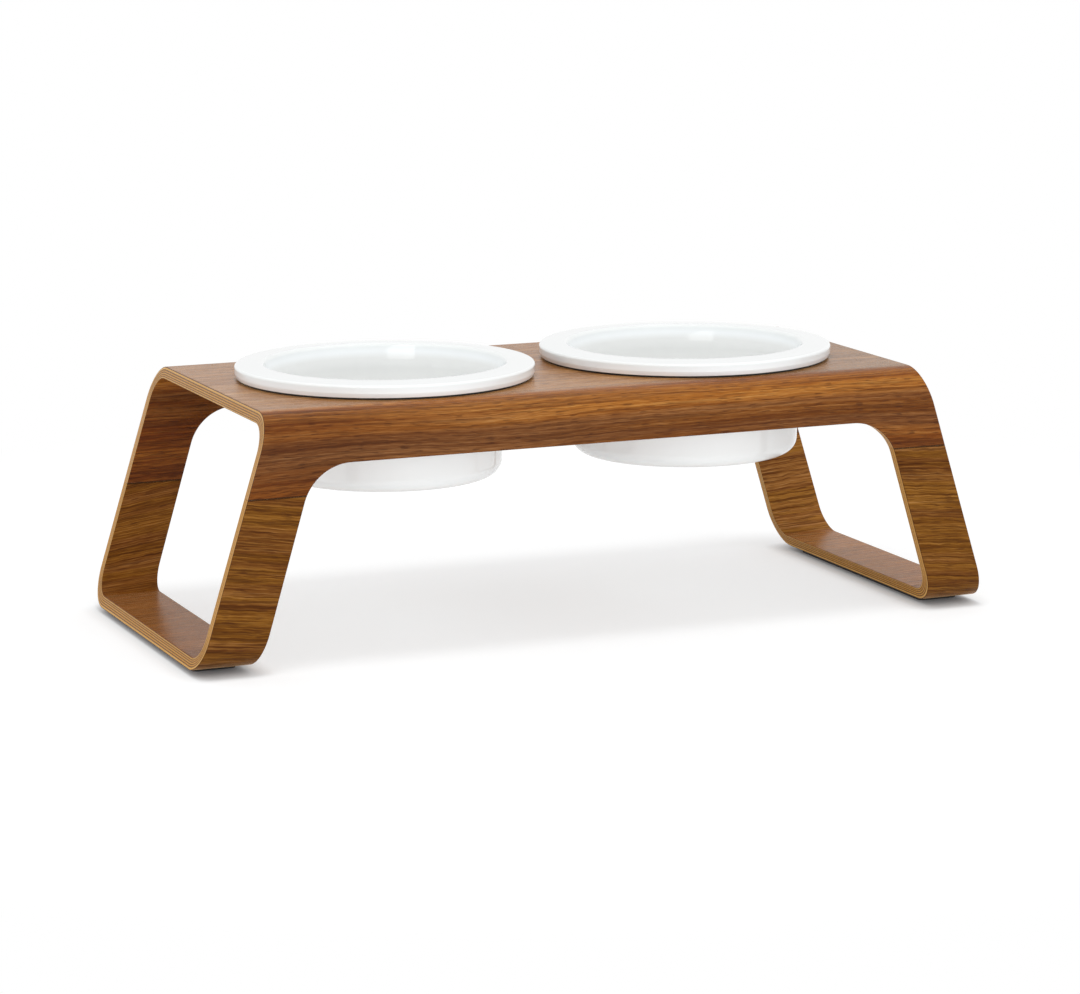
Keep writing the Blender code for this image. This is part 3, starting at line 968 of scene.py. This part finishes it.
# Lamps: name, place, target, size and power in watts
FILL_LAMPS = (
    ("overhead", (-0.15, -0.4, 2.3), (0, 0, 0.1), (0.6, 0.6), 12.5),
    ("front", (-0.9, -2.1, 0.28), (0, 0, 0.1), (2.4, 0.5), 9.5),
    ("left_fill", (-2.2, -0.9, 0.3), (0, 0, 0.1), (1.6, 0.5), 10.0),
    ("right_fill", (1.7, -1.5, 0.3), (0, 0, 0.1), (1.6, 0.5), 11.5),
)
GLEAM_LAMP = ("gleam", (-1.07, -1.16, 1.52), (0, 0, 0.16), (0.85, 0.42), 2.5)

# Camera fitted to the photograph
VIEW_AZIMUTH = math.radians(22.684)
VIEW_ELEVATION = math.radians(10.856)
VIEW_ROLL = math.radians(-0.224)
VIEW_TARGET = Vector((0.001552, 0.0, 0.066668 + WOOD_BASE))
VIEW_DISTANCE = 2.35205
SENSOR_MM = 36.0
FOCAL_PIXELS = 3732.08
PHOTO_WIDTH = 1080


def seen_rays(n, path):
    """1 for rays from the camera, from gloss and through glass, and 0 for all others."""
    seen = n.math("MAXIMUM", path.outputs["Is Camera Ray"], path.outputs["Is Glossy Ray"])
    return n.math("MAXIMUM", seen, path.outputs["Is Transmission Ray"])


def make_floor():
    shape = bmesh.new()
    bmesh.ops.create_grid(shape, x_segments=1, y_segments=1, size=FLOOR_HALF_SIZE)
    floor = new_object("floor", mesh_from(shape, "floor"))
    n, shader = new_material("floor")
    path = n.add("ShaderNodeLightPath")
    n.give(shader, {
        "Base Color": n.mix(path.outputs["Is Camera Ray"], FLOOR_UNSEEN, FLOOR_SEEN),
        "Roughness": FLOOR_ROUGHNESS,
        "Specular IOR Level": FLOOR_GLOSS,
    })
    seen = seen_rays(n, path)
    length = n.add("ShaderNodeVectorMath", operation="LENGTH")
    n.plug(n.add("ShaderNodeNewGeometry").outputs["Position"], length.inputs[0])
    distance = length.outputs["Value"]
    contact = n.add("ShaderNodeAmbientOcclusion", samples=CONTACT_SAMPLES)
    n.plug(CONTACT_DISTANCE, contact.inputs["Distance"])
    strength = n.remap(distance, *GLOW_DISTANCES, *GLOW_STRENGTHS, smooth=True)
    strength = n.math("MULTIPLY", n.math("MULTIPLY", strength, seen), contact.outputs["AO"])
    glow = n.add("ShaderNodeEmission")
    n.plug(strength, glow.inputs["Strength"])
    share = n.remap(distance, *GLOW_DISTANCES, *GLOW_SHARES, smooth=True)
    mixer = n.add("ShaderNodeMixShader")
    n.plug(n.math("MULTIPLY", share, seen), mixer.inputs[0])
    n.plug(shader.outputs[0], mixer.inputs[1])
    n.plug(glow.outputs[0], mixer.inputs[2])
    n.plug(mixer.outputs[0], n.tree.nodes["Material Output"].inputs["Surface"])
    floor.data.materials.append(n.owner)


def make_world():
    world = bpy.data.worlds.new("studio")
    bpy.context.scene.world = world
    n = Nodes(world)
    seen = seen_rays(n, n.add("ShaderNodeLightPath"))
    n.give(n.tree.nodes["Background"], {
        "Color": WHITE,
        "Strength": n.remap(seen, 0.0, 1.0, WORLD_LIGHT, 1.0),
    })


def softbox(name, location, target, size, power):
    light = bpy.data.lights.new(name, "AREA")
    light.shape = "RECTANGLE"
    light.size, light.size_y = size
    light.energy = power
    item = new_object(name, light)
    item.location = location
    facing = Vector(target) - Vector(location)
    item.rotation_euler = facing.to_track_quat("-Z", "Y").to_euler()
    return item


def make_camera():
    back = Vector((
        -math.sin(VIEW_AZIMUTH) * math.cos(VIEW_ELEVATION),
        -math.cos(VIEW_AZIMUTH) * math.cos(VIEW_ELEVATION),
        math.sin(VIEW_ELEVATION),
    ))
    right = (-back).cross(Vector((0, 0, 1))).normalized()
    up = right.cross(-back)
    tilted_right = right * math.cos(VIEW_ROLL) + up * math.sin(VIEW_ROLL)
    tilted_up = up * math.cos(VIEW_ROLL) - right * math.sin(VIEW_ROLL)
    data = bpy.data.cameras.new("camera")
    data.sensor_width = SENSOR_MM
    data.lens = SENSOR_MM * FOCAL_PIXELS / PHOTO_WIDTH
    camera = new_object("camera", data)
    turn = Matrix((tilted_right, tilted_up, back)).transposed().to_4x4()
    camera.matrix_world = Matrix.Translation(VIEW_TARGET + back * VIEW_DISTANCE) @ turn
    bpy.context.scene.camera = camera


def main():
    make_camera()
    shell, left_bow, right_bow = make_stand()
    for piece, node, veneer in (
            (shell, "upper_shell", SHELL_VENEER),
            (left_bow, "left_base_bow", LEFT_BOW_VENEER),
            (right_bow, "right_base_bow", RIGHT_BOW_VENEER)):
        piece.data.materials.append(walnut("walnut_" + piece.name, **veneer))
        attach(piece, "stand")
        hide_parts(node)

    white = glaze("white_glaze")
    silicone = rubber("black_silicone", level=0.012, rough=0.5, grain_scale=900.0)
    strip_rubber = rubber("black_strip", level=0.016, rough=0.75, grain_scale=1400.0)
    for side, name in ((-1, "left"), (1, "right")):
        x = side * BOWL_X
        bowl = turned(
            name + "_glazed_bowl", bowl_profile(), False, (x, 0, BOWL_SEAT), BOWL_STEPS)
        bowl.data.materials.append(white)
        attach(bowl, name + "_bowl")
        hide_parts(name + "_bowl")
        ring = turned(name + "_ring", gasket_profile(), True, (x, 0, GASKET_BASE), RING_STEPS)
        ring.data.materials.append(silicone)
        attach(ring, "stand")
        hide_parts(name + "_gasket")
        strip = make_foot_strip(name + "_strip", side)
        strip.data.materials.append(strip_rubber)
        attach(strip, "stand")
        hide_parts(name + "_foot_strip")

    raw = pale_wood("spline_wood")
    for node_name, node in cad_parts.items():
        if node_name.endswith("_spline"):
            node.data.materials.clear()
            node.data.materials.append(raw)

    make_floor()
    make_world()
    # The fill lamps leave no glare on the glaze, and the gleam lamp gives only glare
    for lamp in FILL_LAMPS:
        softbox(*lamp).visible_glossy = False
    softbox(*GLEAM_LAMP).visible_diffuse = False
    bpy.context.scene.view_settings.view_transform = "Standard"


main()
